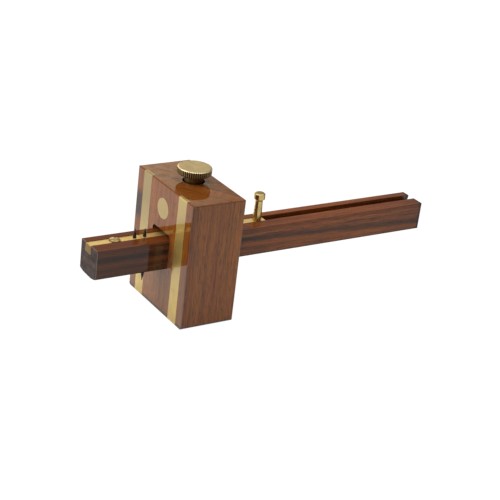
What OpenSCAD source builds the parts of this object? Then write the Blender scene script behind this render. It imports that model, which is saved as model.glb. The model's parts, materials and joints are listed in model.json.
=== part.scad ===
// Mortise gauge: a wooden fence slides on a wooden stem, a brass slide carries one of two marking pins.
// Millimetres. Origin: centre of the fence's foot. +X runs along the stem to its tail, +Z is up.
// The working face of the fence looks along -X, towards the marking pins.

/* [Fence] */
// Height of the fence
fence_h = 63.5; // [61:0.5:72]
// Width of the fence across the stem
fence_w = 52.6; // [50:0.2:60]
// Thickness of the fence along the stem
fence_t = 28.2; // [25:0.2:32]
// Radius along the two long edges of the foot
foot_round = 2.5; // [0.5:0.25:3]
// Eased edges of the fence
fence_ease = 0.6; // [0.2:0.1:0.8]

/* [Stem] */
// Length of the stem
stem_len = 190; // [170:0.2:220]
// Width of the stem
stem_w = 16.2; // [15:0.2:18]
// Height of the stem from its belly to its flat top
stem_h = 15.8; // [14.4:0.2:16.4]
// Rise of the rounded belly at the sides of the stem
stem_belly = 1.4; // [0.6:0.1:2]
// Height of the belly above the foot of the fence
stem_low = 22.9; // [20:0.1:25]
// How far the marking end stands out of the working face
stem_out = 37.4; // [35:0.2:46]
// Eased edges along the top of the stem
stem_ease = 0.8; // [0.3:0.1:1.2]
// Eased edges round the marking end
end_ease = 0.5; // [0.2:0.1:1]
// Radius at the lower corner of the tail
tail_round = 1.9; // [0.5:0.1:3]

/* [Mortise through the fence] */
// Gap at each side of the stem
side_gap = 0.2; // [0.1:0.05:0.5]
// Gap under the belly of the stem
under_gap = 0.1; // [0.05:0.05:0.3]
// Corner radius of the mortise roof
mortise_round = 1.8; // [0.5:0.1:2.5]

/* [Brass wear strips] */
// Width of a strip
strip_w = 7.4; // [6:0.2:9]
// Thickness of a strip
strip_t = 1.8; // [1:0.1:2.5]
// Wood between a strip and the side of the fence
strip_inset = 6; // [3:0.1:6.6]

/* [Barrel nut] */
// Diameter of the brass cross nut
nut_d = 10.2; // [9:0.1:12]
// How far its axis lies below the top of the fence
nut_drop = 11.8; // [11:0.1:13]
// How far its axis lies beside the middle of the fence, away from the near side
nut_y = 0.4; // [0:0.1:1]
// Length of the nut from the working face
nut_len = 22; // [20:0.5:24]
// Glue line round the nut
glue = 0.02; // [0.01:0.01:0.04]

/* [Thumb screw] */
// How far it stands behind the middle of the fence, towards the tail
clamp_x = 2; // [0:0.1:2.5]
// How far it stands beside the middle of the fence, away from the near side
clamp_y = 1.7; // [0.4:0.1:2]
// Diameter of the knurled head
head_d = 16.5; // [14:0.5:20]
// Thickness of the knurled head
head_t = 3.3; // [3:0.1:5]
// Gap between the fence and the head when the stem is clamped
head_lift = 3.8; // [3:0.1:7]
// Chamfer on the upper rim of the head
rim_chamfer = 0.4; // [0.3:0.05:0.9]
// Chamfer on the lower rim of the head
under_chamfer = 0.3; // [0.2:0.05:0.5]
// Number of ribs round the head
ribs = 48; // [36:4:60]
// Depth of the grooves between the ribs
rib_depth = 0.35; // [0.2:0.05:0.5]
// Share of a rib's pitch that its flat crest takes
crest_share = 0.4; // [0.2:0.05:0.7]
// Diameter of the collar under the head
collar_d = 9.4; // [8:0.1:9.8]
// How deep the collar reaches into the fence
collar_in = 4.2; // [3:0.1:4.5]
// Diameter of the counterbore round the collar
counterbore_d = 10.9; // [10.4:0.1:12]
// Wood left between the counterbore and the nut
counterbore_floor = 0.35; // [0.2:0.05:0.6]
// Outside diameter of the screw's shank
shank_d = 6; // [5:0.1:6.4]
// Radial clearance of the shank in the nut
thread_fit = 0.05; // [0.03:0.01:0.09]
// Radial clearance of the shank in the wood under the nut
wood_fit = 0.3; // [0.2:0.05:0.5]

/* [Pressure shoe] */
// Length of the shoe along the stem
shoe_l = 18; // [14:0.5:22]
// Thickness of the shoe
shoe_t = 1.2; // [1.1:0.05:1.6]
// How far the shoe rises before it meets the roof of the mortise
shoe_lift = 1; // [0.8:0.1:1.5]
// Gap left over the raised shoe
roof_gap = 0.05; // [0.03:0.01:0.1]
// Corner radius of the shoe
shoe_round = 1.5; // [0.5:0.1:3]
// Gap between shoe and stem when clamped
shoe_gap = 0.05; // [0.02:0.01:0.06]
// Diameter of the rivet end that holds the shoe to the screw
rivet_d = 3; // [2.4:0.1:3.4]
// Diameter of the spread rivet head
rivet_head_d = 4.6; // [4.2:0.1:5]
// Thickness of the spread rivet head
rivet_head_t = 0.4; // [0.3:0.05:0.45]
// Running clearance between the shoe and the rivet
shoe_fit = 0.05; // [0.03:0.01:0.08]

/* [Dovetailed slot and brass slide] */
// Width of the slot at the top of the stem
slot_mouth = 4.9; // [4:0.1:5.6]
// Width of the slot at its floor
slot_floor_w = 6.6; // [6:0.1:7.4]
// Depth of the slot
slot_depth = 4.6; // [4:0.1:5.4]
// Offset of the slot from the middle of the stem
slot_y = 1; // [-1.5:0.1:1.5]
// How far the brass lies below the top of the wood
brass_below = 0.3; // [0.1:0.05:0.5]
// Clearance of the brass at the sides and floor of the slot
slide_fit = 0.05; // [0.03:0.01:0.1]
// Chamfer along the two lower edges of the brass
brass_corner = 0.6; // [0.3:0.1:0.9]
// Chamfer across the ends of the brass
brass_end = 0.25; // [0.1:0.05:0.4]
// Length of the fixed plate at the marking end
plate_len = 27.1; // [24:0.1:32]
// Gap between fixed plate and slide when the pins are closed
joint_gap = 0.05; // [0.02:0.01:0.1]
// Length of the sliding bar
bar_len = 69; // [66:0.5:90]

/* [Screw in the fixed plate] */
// Diameter of the domed head
screw_head_d = 5.5; // [4.6:0.1:6.5]
// Height of the domed head
screw_head_h = 0.9; // [0.8:0.05:1.2]
// Height of the head at its rim
screw_rim_h = 0.45; // [0.3:0.05:0.6]
// Diameter of the screw's shank
screw_d = 2.4; // [2:0.1:3]
// Length of the screw under its head
screw_len = 10; // [8:0.5:12]
// Length of its tapered point
screw_point_h = 2.4; // [1.5:0.1:4]
// Diameter left at its tip
screw_tip_d = 0.4; // [0.2:0.1:0.8]
// Distance of the screw from the marking end
screw_x = 13.5; // [10:0.1:18]
// Width of the driver slot
driver_w = 0.9; // [0.6:0.05:1.2]
// Depth of the driver slot
driver_depth = 0.55; // [0.3:0.05:0.7]
// Direction of the driver slot, from the stem's length
driver_turn = 62; // [0:1:179]
// Gap round the head in the wood beside the slot
screw_head_gap = 0.15; // [0.1:0.05:0.4]

/* [Marking pins] */
// Diameter of the steel pins
pin_d = 1.8; // [1.2:0.1:2]
// Diameter left at a pin's point
point_d = 0.3; // [0.2:0.05:0.5]
// Height of the fixed pin above the brass
fixed_pin_h = 4.6; // [3:0.1:6]
// Height of the moving pin above the brass
moving_pin_h = 4.1; // [3:0.1:6]
// Distance of the fixed pin from the joint of plate and slide
fixed_pin_back = 3.2; // [1.5:0.1:5]
// Distance of the moving pin from the joint of plate and slide
moving_pin_ahead = 2.1; // [1.5:0.1:3]
// Length of the single pin below the belly
single_pin_h = 7; // [4:0.1:8]
// Length of its straight part below the belly
single_pin_straight = 2.5; // [1:0.1:3.5]
// Distance of the single pin from the marking end
single_pin_x = 29.2; // [27:0.1:31]
// How deep each pin is driven into the wood
pin_root = 5; // [3:0.5:6]
// Radial clearance of a driven pin
pin_fit = 0.02; // [0.01:0.01:0.04]

/* [Pull knob] */
// Height of the knob above the brass
knob_h = 14.4; // [11:0.1:18]
// Distance of the knob from the tail end of the slide
knob_back = 4.2; // [2.8:0.1:6]
// Diameter at the foot of the knob
knob_foot_d = 4.4; // [3.8:0.1:4.6]
// Diameter of the neck under the head
knob_neck_d = 3.7; // [3:0.1:4]
// Diameter of the head
knob_head_d = 5.5; // [4.8:0.1:7]
// Height of the cylindrical head
knob_head_h = 2.9; // [2:0.1:4]
// Height of the hollow flare between neck and head
knob_flare_h = 1.4; // [1:0.1:2]
// Chamfer round the top of the head
knob_chamfer = 0.5; // [0.3:0.05:0.8]
// Diameter of the tenon in the slide
tenon_d = 2.8; // [2:0.1:3]
// Length of the tenon in the slide
tenon_len = 3.4; // [2.5:0.1:3.6]

/* [Hidden] */
$fn = 96;
// Cutters run this far past the faces that they open
past = 1;

// Heights
stem_top = stem_low + stem_h;
brass_top = stem_top - brass_below;
slot_floor = stem_top - slot_depth;
head_low = fence_h + head_lift;
nut_z = fence_h - nut_drop;
collar_low = fence_h - collar_in;
counterbore_low = nut_z + nut_d / 2 + counterbore_floor;
shoe_low = stem_top + shoe_gap;
shoe_top = shoe_low + shoe_t;
shank_low = shoe_top + shoe_fit;
mortise_roof = shoe_top + shoe_lift + roof_gap;

// Distance of a strip's middle from the middle of the fence
strip_y = fence_w / 2 - strip_inset - strip_w / 2;

// Places along the stem
face_x = -fence_t / 2;
stem_x0 = face_x - stem_out;
joint_x = stem_x0 + plate_len;
bar_x0 = joint_x + joint_gap;
knob_x = bar_x0 + bar_len - knob_back;
fixed_pin_x = joint_x - fixed_pin_back;
moving_pin_x = joint_x + moving_pin_ahead;

// The shoe fills the flat of the mortise roof, between its round corners
shoe_w = stem_w + 2 * side_gap - 2 * mortise_round;

// Radius of the belly, from its rise over half the stem's width
belly_r = (pow(stem_w / 2, 2) + pow(stem_belly, 2)) / (2 * stem_belly);
// The belly's corners are softened over one and a half times its rise
belly_corner = 1.5 * stem_belly;

fence_wood = [0.49, 0.33, 0.23];
stem_wood = [0.34, 0.18, 0.12];
brass = [0.78, 0.66, 0.38];
steel = [0.22, 0.22, 0.24];

// Extrudes a profile drawn in Y and Z along X
module along_x(from, len) {
    translate([from, 0, 0])
        rotate([90, 0, 90])
            linear_extrude(len)
                children();
}

// Extrudes a profile drawn in X and Z along Y, to both sides of the middle
module along_y(width) {
    rotate([90, 0, 0])
        linear_extrude(width, center = true)
            children();
}

// What a round corner at the origin takes off a square corner
module corner_waste(r) {
    if (r > 0) {
        difference() {
            translate([-past, -past])
                square(r + past);
            translate([r, r])
                circle(r);
        }
    }
}

// Rectangle from the origin, with its corner radii from the lower left one anticlockwise
module soft_rect(w, h, r) {
    difference() {
        square([w, h]);
        corner_waste(r[0]);
        translate([w, 0])
            mirror([1, 0])
                corner_waste(r[1]);
        translate([w, h])
            mirror([1, 0])
                mirror([0, 1])
                    corner_waste(r[2]);
        translate([0, h])
            mirror([0, 1])
                corner_waste(r[3]);
    }
}

// Outside of the fence with its wear strips in place
module fence_form() {
    intersection() {
        along_x(face_x, fence_t)
            translate([-fence_w / 2, 0])
                soft_rect(fence_w, fence_h, [foot_round, foot_round, fence_ease, fence_ease]);
        along_y(fence_w)
            translate([face_x, 0])
                soft_rect(fence_t, fence_h, [for (i = [0:3]) fence_ease]);
        linear_extrude(fence_h)
            translate([face_x, -fence_w / 2])
                soft_rect(fence_t, fence_w, [for (i = [0:3]) fence_ease]);
    }
}

// Room of one wear strip in the working face; side is -1 for the near one and 1 for the far one
module strip_room(side) {
    translate([face_x - past, side * strip_y - strip_w / 2, -past])
        cube([strip_t + past, strip_w, fence_h + 2 * past]);
}

// Section of the stem: flat top, straight sides, rounded belly, widened by side and lowered by under
module stem_section(side, under, roof, top_round, low_round) {
    w = stem_w + 2 * side;
    low = stem_low - under;
    intersection() {
        translate([-w / 2, low])
            soft_rect(w, roof - low, [low_round, low_round, top_round, top_round]);
        translate([0, stem_low + belly_r])
            circle(belly_r + under);
    }
}

// Half the slot's width at a height
function slot_half(z) = slot_mouth / 2 + (slot_floor_w - slot_mouth) / 2 * (stem_top - z) / slot_depth;

// Section of the slot, open at the top
module slot_section() {
    high = stem_top + past;
    translate([slot_y, 0])
        polygon([
            [-slot_half(slot_floor), slot_floor],
            [slot_half(slot_floor), slot_floor],
            [slot_half(high), high],
            [-slot_half(high), high]
        ]);
}

// Brass of the slot: plate and bar share its section, with chamfered lower edges and ends
module brass_run(from, len) {
    low = slot_floor + slide_fit;
    foot = slot_half(low) - slide_fit - brass_corner;
    side = slot_half(low + brass_corner) - slide_fit;
    top = slot_half(brass_top) - slide_fit;
    intersection() {
        along_x(from, len)
            translate([slot_y, 0])
                polygon([
                    [-foot, low],
                    [foot, low],
                    [side, low + brass_corner],
                    [top, brass_top],
                    [-top, brass_top],
                    [-side, low + brass_corner]
                ]);
        along_y(2 * stem_w)
            polygon([
                [from, low],
                [from + len, low],
                [from + len, brass_top - brass_end],
                [from + len - brass_end, brass_top],
                [from + brass_end, brass_top],
                [from, brass_top - brass_end]
            ]);
    }
}

// Steel pin pointing up from the origin: a driven root, then a long point
module pin(root, straight, height) {
    translate([0, 0, -root])
        cylinder(d = pin_d, h = root + straight);
    translate([0, 0, straight])
        cylinder(d1 = pin_d, d2 = point_d, h = height - straight);
}

// Places the single pin, pointing down from the belly
module at_single_pin() {
    translate([stem_x0 + single_pin_x, 0, stem_low])
        mirror([0, 0, 1])
            children();
}

// Places a piece on the axis of the thumb screw
module at_clamp(z) {
    translate([clamp_x, clamp_y, z])
        children();
}

// Places a piece on the brass, on the middle line of the slot
module on_brass(x) {
    translate([x, slot_y, brass_top])
        children();
}

// Outline of the knurled head: each rib has a flat crest and a V groove beside it
module knurl_outline() {
    crest = head_d / 2;
    root = crest - rib_depth;
    // Each point is a share of the rib's pitch and a radius
    rib = [[0, crest], [crest_share, crest], [(1 + crest_share) / 2, root]];
    polygon([
        for (i = [0:ribs - 1])
            for (point = rib)
                let (turn = 360 * (i + point[0]) / ribs)
                    point[1] * [cos(turn), sin(turn)]
    ]);
}

module fence_block() {
    color(fence_wood)
    difference() {
        fence_form();
        for (side = [-1, 1])
            strip_room(side);
        along_x(face_x - past, fence_t + 2 * past)
            stem_section(side_gap, under_gap, mortise_roof, mortise_round, 0);
        // Blind hole of the barrel nut, bored from the working face
        translate([face_x - past, nut_y, nut_z])
            rotate([0, 90, 0])
                cylinder(d = nut_d + 2 * glue, h = nut_len + glue + past);
        // Counterbore of the collar, then the clearance hole down to the mortise
        at_clamp(counterbore_low)
            cylinder(d = counterbore_d, h = fence_h - counterbore_low + past);
        at_clamp(stem_top)
            cylinder(d = shank_d + 2 * wood_fit, h = fence_h - stem_top);
    }
}

module wear_strip(side) {
    color(brass)
    intersection() {
        fence_form();
        strip_room(side);
    }
}

module near_wear_strip() {
    wear_strip(-1);
}

module far_wear_strip() {
    wear_strip(1);
}

module barrel_nut() {
    color(brass)
    difference() {
        translate([face_x, nut_y, nut_z])
            rotate([0, 90, 0])
                cylinder(d = nut_d, h = nut_len);
        at_clamp(nut_z - nut_d)
            cylinder(d = shank_d + 2 * thread_fit, h = 2 * nut_d);
    }
}

module thumb_screw() {
    crest = head_d / 2;
    rivet_low = shoe_low + shoe_fit;
    color(brass)
    union() {
        at_clamp(head_low)
            intersection() {
                linear_extrude(head_t)
                    knurl_outline();
                // Both chamfers run as far past the ribs as they cut into them
                rotate_extrude()
                    polygon([
                        [0, 0],
                        [crest - under_chamfer, 0],
                        [crest + under_chamfer, 2 * under_chamfer],
                        [crest + rim_chamfer, head_t - 2 * rim_chamfer],
                        [crest - rim_chamfer, head_t],
                        [0, head_t]
                    ]);
            }
        at_clamp(collar_low)
            cylinder(d = collar_d, h = head_low - collar_low);
        at_clamp(shank_low)
            cylinder(d = shank_d, h = collar_low - shank_low);
        // Rivet end through the shoe, spread in the shoe's counterbore
        at_clamp(rivet_low)
            cylinder(d = rivet_d, h = shank_low - rivet_low);
        at_clamp(rivet_low)
            cylinder(d = rivet_head_d, h = rivet_head_t);
    }
}

module pressure_shoe() {
    color(brass)
    difference() {
        translate([clamp_x - shoe_l / 2, -shoe_w / 2, shoe_low])
            linear_extrude(shoe_t)
                soft_rect(shoe_l, shoe_w, [for (i = [0:3]) shoe_round]);
        at_clamp(shoe_low - past)
            cylinder(d = rivet_d + 2 * shoe_fit, h = shoe_t + 2 * past);
        at_clamp(shoe_low - past)
            cylinder(d = rivet_head_d + 2 * shoe_fit, h = past + rivet_head_t + 2 * shoe_fit);
    }
}

module stem() {
    color(stem_wood)
    difference() {
        intersection() {
            along_x(stem_x0, stem_len)
                stem_section(0, 0, stem_top, stem_ease, belly_corner);
            along_y(stem_w)
                translate([stem_x0, stem_low])
                    soft_rect(stem_len, stem_h, [end_ease, tail_round, stem_ease, end_ease]);
            linear_extrude(stem_top)
                translate([stem_x0, -stem_w / 2])
                    soft_rect(stem_len, stem_w, [end_ease, stem_ease, stem_ease, end_ease]);
        }
        along_x(stem_x0 - past, stem_len + 2 * past)
            slot_section();
        on_brass(stem_x0 + screw_x) {
            screw_room();
            cylinder(d = screw_head_d + 2 * screw_head_gap, h = brass_below + past);
        }
        on_brass(fixed_pin_x)
            pin_room(brass_top - slot_floor + pin_root);
        at_single_pin()
            pin_room(pin_root);
    }
}

// Hole of a pin that is driven down from the origin
module pin_room(root) {
    translate([0, 0, -root - pin_fit])
        cylinder(d = pin_d + 2 * pin_fit, h = root + pin_fit + past);
}

// Hole of the plate's screw, down from the brass
module screw_room() {
    translate([0, 0, -screw_len - pin_fit])
        cylinder(d = screw_d + 2 * pin_fit, h = screw_len + pin_fit + past);
}

module fixed_plate() {
    color(brass)
    difference() {
        brass_run(stem_x0, plate_len);
        on_brass(stem_x0 + screw_x)
            screw_room();
        on_brass(fixed_pin_x)
            pin_room(brass_top);
    }
}

module plate_screw() {
    // Radius of the dome over the rim, from its rise over half its width
    rise = screw_head_h - screw_rim_h;
    cap_r = (pow(screw_head_d / 2, 2) + pow(rise, 2)) / (2 * rise);
    color(brass)
    on_brass(stem_x0 + screw_x) {
        difference() {
            intersection() {
                translate([0, 0, screw_head_h - cap_r])
                    sphere(cap_r);
                cylinder(d = screw_head_d, h = screw_head_h + past);
            }
            rotate([0, 0, driver_turn])
                translate([-screw_head_d, -driver_w / 2, screw_head_h - driver_depth])
                    cube([2 * screw_head_d, driver_w, driver_depth + past]);
        }
        translate([0, 0, screw_point_h - screw_len])
            cylinder(d = screw_d, h = screw_len - screw_point_h);
        translate([0, 0, -screw_len])
            cylinder(d1 = screw_tip_d, d2 = screw_d, h = screw_point_h);
    }
}

module fixed_pin() {
    color(steel)
    on_brass(fixed_pin_x)
        pin(brass_top - slot_floor + pin_root, 0, fixed_pin_h);
}

module single_pin() {
    color(steel)
    at_single_pin()
        pin(pin_root, single_pin_straight, single_pin_h);
}

module sliding_bar() {
    color(brass)
    difference() {
        brass_run(bar_x0, bar_len);
        on_brass(moving_pin_x)
            pin_room(brass_top);
        on_brass(knob_x)
            translate([0, 0, -tenon_len - pin_fit])
                cylinder(d = tenon_d + 2 * pin_fit, h = tenon_len + pin_fit + past);
    }
}

module moving_pin() {
    color(steel)
    on_brass(moving_pin_x)
        pin(brass_top - slot_floor - slide_fit, 0, moving_pin_h);
}

module pull_knob() {
    foot = knob_foot_d / 2;
    neck = knob_neck_d / 2;
    head = knob_head_d / 2;
    head_z = knob_h - knob_head_h;
    neck_z = head_z - knob_flare_h;
    color(brass)
    on_brass(knob_x) {
        rotate_extrude()
            difference() {
                polygon([
                    [0, 0],
                    [foot, 0],
                    [neck, neck_z],
                    [head, neck_z],
                    [head, knob_h - knob_chamfer],
                    [head - knob_chamfer, knob_h],
                    [0, knob_h]
                ]);
                translate([neck + knob_flare_h, neck_z])
                    circle(knob_flare_h);
            }
        translate([0, 0, -tenon_len])
            cylinder(d = tenon_d, h = tenon_len);
    }
}

fence_block();
near_wear_strip();
far_wear_strip();
barrel_nut();
thumb_screw();
pressure_shoe();
stem();
fixed_plate();
plate_screw();
fixed_pin();
single_pin();
sliding_bar();
moving_pin();
pull_knob();
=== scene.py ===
import json
import math

import bpy
import numpy as np
from bpy.props import FloatProperty, FloatVectorProperty, IntProperty, PointerProperty
from mathutils import Matrix, Vector


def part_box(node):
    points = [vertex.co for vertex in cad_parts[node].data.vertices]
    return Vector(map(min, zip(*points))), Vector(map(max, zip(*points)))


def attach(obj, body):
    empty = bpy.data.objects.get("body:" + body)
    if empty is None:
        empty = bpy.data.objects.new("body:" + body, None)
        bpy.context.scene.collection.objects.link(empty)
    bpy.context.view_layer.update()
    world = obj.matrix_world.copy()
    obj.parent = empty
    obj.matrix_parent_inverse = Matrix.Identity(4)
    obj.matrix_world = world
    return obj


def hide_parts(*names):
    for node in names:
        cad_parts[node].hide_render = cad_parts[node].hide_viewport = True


bl_info = {
    "name": "Mortise Gauge",
    "version": (1, 0, 0),
    "blender": (4, 5, 0),
    "location": "3D View > Sidebar > Mortise Gauge",
    "description": "Finishes a wooden mortise gauge in lacquered wood, brass and steel",
    "category": "Object",
}

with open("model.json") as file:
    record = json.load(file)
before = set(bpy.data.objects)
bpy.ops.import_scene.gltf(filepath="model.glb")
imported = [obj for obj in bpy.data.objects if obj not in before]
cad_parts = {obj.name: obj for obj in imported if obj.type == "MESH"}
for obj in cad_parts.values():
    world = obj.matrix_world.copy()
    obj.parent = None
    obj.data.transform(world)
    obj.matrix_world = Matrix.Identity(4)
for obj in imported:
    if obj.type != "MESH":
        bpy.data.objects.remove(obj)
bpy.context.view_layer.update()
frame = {"nodes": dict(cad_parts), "record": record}
MM = 0.001


# Sizes taken from the frame

def box_size(node):
    """Width, depth and height of a CAD node, in metres."""
    low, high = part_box(node)
    return high - low


def upright_axis(node):
    """Where the upright line through the middle of a CAD node meets the floor."""
    low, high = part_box(node)
    return (low.x + high.x) / 2, (low.y + high.y) / 2, 0


# Short ways to declare settings

def setting(kind, **fixed):
    """A function that declares a property of one kind."""
    return lambda name, default, description, **more: kind(
        name=name, default=default, description=description, **fixed, **more)


number = setting(FloatProperty)
length = setting(FloatProperty, unit="LENGTH", precision=5)
share = setting(FloatProperty, min=0, max=1, subtype="FACTOR")
brightness = setting(FloatProperty, min=0)
colour = setting(FloatVectorProperty, min=0, max=1, size=3, subtype="COLOR")
vector = setting(FloatVectorProperty, size=3)


# Meshes from numpy surfaces

def skin(rings, first_pole, last_pole):
    """Points, quads and triangles of a closed surface over rings.

    rings has the shape (rings, points, 3). Each point is joined to its neighbour on the ring and
    to the same point of the next ring. A fan of triangles to a pole closes each end.
    """
    count, sides = rings.shape[:2]
    here = np.arange(sides)
    after = (here + 1) % sides
    row = np.arange(count - 1)[:, None] * sides
    quads = np.stack([row + here, row + after, row + sides + after, row + sides + here], axis=-1)
    first, last = count * sides, count * sides + 1
    end = (count - 1) * sides
    low_fan = np.stack([np.full(sides, first), after, here], axis=-1)
    high_fan = np.stack([np.full(sides, last), end + here, end + after], axis=-1)
    points = np.concatenate([rings.reshape(-1, 3), [first_pole, last_pole]])
    return points, quads.reshape(-1, 4), np.concatenate([low_fan, high_fan])


def piece_from_skins(name, skins, sharp_degrees):
    """One object from closed skins. Edges that turn more than sharp_degrees stay sharp."""
    offsets = np.cumsum([0] + [len(points) for points, quads, triangles in skins])
    points = np.concatenate([s[0] for s in skins])
    quads = np.concatenate([s[1] + offset for s, offset in zip(skins, offsets)])
    triangles = np.concatenate([s[2] + offset for s, offset in zip(skins, offsets)])
    mesh = bpy.data.meshes.new(name)
    mesh.from_pydata(points, [], [*quads.tolist(), *triangles.tolist()])
    mesh.validate()
    mesh.shade_smooth()
    mesh.set_sharp_from_angle(angle=math.radians(sharp_degrees))
    piece = bpy.data.objects.new(name, mesh)
    bpy.context.scene.collection.objects.link(piece)
    return piece


def turned_skin(radii, heights, angles, at):
    """Closed skin of a turned surface on the vertical axis through at.

    The profile point (r, z) goes to (r cos a, r sin a, z) at every angle a. The radii may be one
    number for each height, or one for each height and angle.
    """
    radii = np.asarray(radii, float)
    radii = radii[:, None] + np.zeros(len(angles)) if radii.ndim == 1 else radii
    z = np.asarray(heights, float)[:, None] + np.zeros(len(angles))
    at = np.asarray(at, float)
    rings = np.stack([radii * np.cos(angles), radii * np.sin(angles), z], axis=-1) + at
    return skin(rings, at + (0, 0, heights[0]), at + (0, 0, heights[-1]))


def arc(centre_r, centre_z, radius, start, stop, steps):
    """Radii and heights on a circle, from angle start to angle stop in degrees."""
    a = np.radians(np.linspace(start, stop, steps))
    return centre_r + radius * np.cos(a), centre_z + radius * np.sin(a)


def round_angles(sides):
    """Even angles once round a circle."""
    return np.arange(sides) * 2 * math.pi / sides


def join_profile(*parts):
    """Joins stretches of a profile, each a pair of radii and heights."""
    return tuple(np.concatenate([np.atleast_1d(part[i]) for part in parts]) for i in (0, 1))


def thread_radii(heights, angles, outside, depth, pitch):
    """Radius of a right-hand thread at each height and angle.

    The groove's phase is z / pitch - a / 2 pi. Its depth is a V with a flat crest, and fades over
    one pitch at both ends.
    """
    slope, crest = 1.25, 0.2        # steepness of the V, and how much of it the crest cuts off
    z = np.asarray(heights)[:, None]
    phase = (z / pitch - angles / (2 * math.pi)) % 1
    groove = np.clip(slope * (1 - abs(2 * phase - 1)) - crest, 0, 1)
    fade = np.clip(np.minimum(z - z.min(), z.max() - z) / pitch, 0, 1)
    return outside - depth * groove * fade


# Shader nodes

class Shader:
    """The node tree of a material or a world, with short ways to add its nodes."""

    def __init__(self, owner):
        owner.use_nodes = True
        self.owner = owner
        self.tree = owner.node_tree
        self.tree.nodes.clear()

    def add(self, kind, inputs=(), **settings):
        """Adds a shader node and gives its outputs. inputs maps sockets to values or outputs."""
        node = self.tree.nodes.new("ShaderNode" + kind)
        for name, value in settings.items():
            setattr(node, name, value)
        for name, value in dict(inputs).items():
            if isinstance(value, bpy.types.NodeSocket):
                self.tree.links.new(value, node.inputs[name])
            else:
                node.inputs[name].default_value = value
        return node.outputs

    def math(self, operation, *values):
        """Output of a Math node."""
        return self.add("Math", enumerate(values), operation=operation)[0]

    def plus(self, first, second):
        """Sum of two values."""
        return self.math("ADD", first, second)

    def minus(self, first, second):
        """Difference of two values."""
        return self.math("SUBTRACT", first, second)

    def times(self, first, second):
        """Product of two values."""
        return self.math("MULTIPLY", first, second)

    def size(self, value):
        """Value without its sign."""
        return self.math("ABSOLUTE", value)

    def millimetres(self):
        """Object coordinates in millimetres."""
        where = self.add("TexCoord")["Object"]
        return self.stretch(where, (1 / MM, 1 / MM, 1 / MM))

    def normal(self):
        """X, Y and Z of the direction in which the surface faces."""
        return self.split(self.add("TexCoord")["Normal"])

    def split(self, vector):
        """X, Y and Z of a vector."""
        return self.add("SeparateXYZ", {0: vector})[:]

    def join(self, x, y, z):
        """Vector from X, Y and Z."""
        return self.add("CombineXYZ", {0: x, 1: y, 2: z})[0]

    def stretch(self, vector, scale, shift=(0, 0, 0)):
        """Vector scaled along each axis, then shifted."""
        return self.add("Mapping", {"Vector": vector, "Scale": scale, "Location": shift})[0]

    def noise(self, vector, detail=2, roughness=0.5, distortion=0):
        """Value from 0 to 1 of a noise of scale 1."""
        inputs = {"Vector": vector, "Scale": 1, "Detail": detail, "Roughness": roughness,
                  "Distortion": distortion}
        return self.add("TexNoise", inputs, noise_dimensions="3D")["Fac"]

    def layers(self, value, detail=2, roughness=0.55):
        """Value from 0 to 1 of a noise along one coordinate."""
        inputs = {"W": value, "Scale": 1, "Detail": detail, "Roughness": roughness}
        return self.add("TexNoise", inputs, noise_dimensions="1D")["Fac"]

    def ramp(self, value, low, high, start=0, stop=1, curve="LINEAR"):
        """Maps value from the range low to high onto start to stop, clamped."""
        inputs = enumerate((value, low, high, start, stop))
        return self.add("MapRange", inputs, interpolation_type=curve)[0]

    def mix(self, factor, *colours):
        """Colour mixed from the first to the second. Each is a socket or three numbers."""
        first, second = (c if isinstance(c, bpy.types.NodeSocket) else (*c, 1) for c in colours)
        return self.add("Mix", {"Factor": factor, 6: first, 7: second}, data_type="RGBA")[2]

    def stain(self, tone, colour, value, first, full, strength=1):
        """tone mixed towards colour: not yet where value is first, by strength where it is full."""
        return self.mix(self.ramp(value, first, full, 0, strength), tone, colour)

    def bump(self, height, distance, strength):
        """Normal from a height in the range 0 to 1 that stands for distance metres."""
        return self.add("Bump", {"Height": height, "Distance": distance, "Strength": strength})[0]

    def principled(self, inputs):
        """Output of a Principled BSDF."""
        return self.add("BsdfPrincipled", inputs)[0]

    def finish(self, surface):
        """Shows the surface on its owner, and gives that back."""
        kind = "World" if isinstance(self.owner, bpy.types.World) else "Material"
        self.add("Output" + kind, {"Surface": surface})
        return self.owner


def edge_shade(s, where, low, high, width):
    """1 on the edges of the box from low to high, falling to 0 at width from them.

    All are in millimetres. Each axis gives its nearness to the box's faces. An edge is where two
    of the three are near at once.
    """
    near = []
    for value, first, last in zip(where, low, high):
        inside = s.math("MINIMUM", s.minus(value, first), s.minus(last, value))
        near.append(s.ramp(inside, 0, width, 1, 0))
    pairs = [s.times(near[i], near[j]) for i, j in ((0, 1), (1, 2), (0, 2))]
    return s.math("MAXIMUM", pairs[0], s.math("MAXIMUM", pairs[1], pairs[2]))


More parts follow.
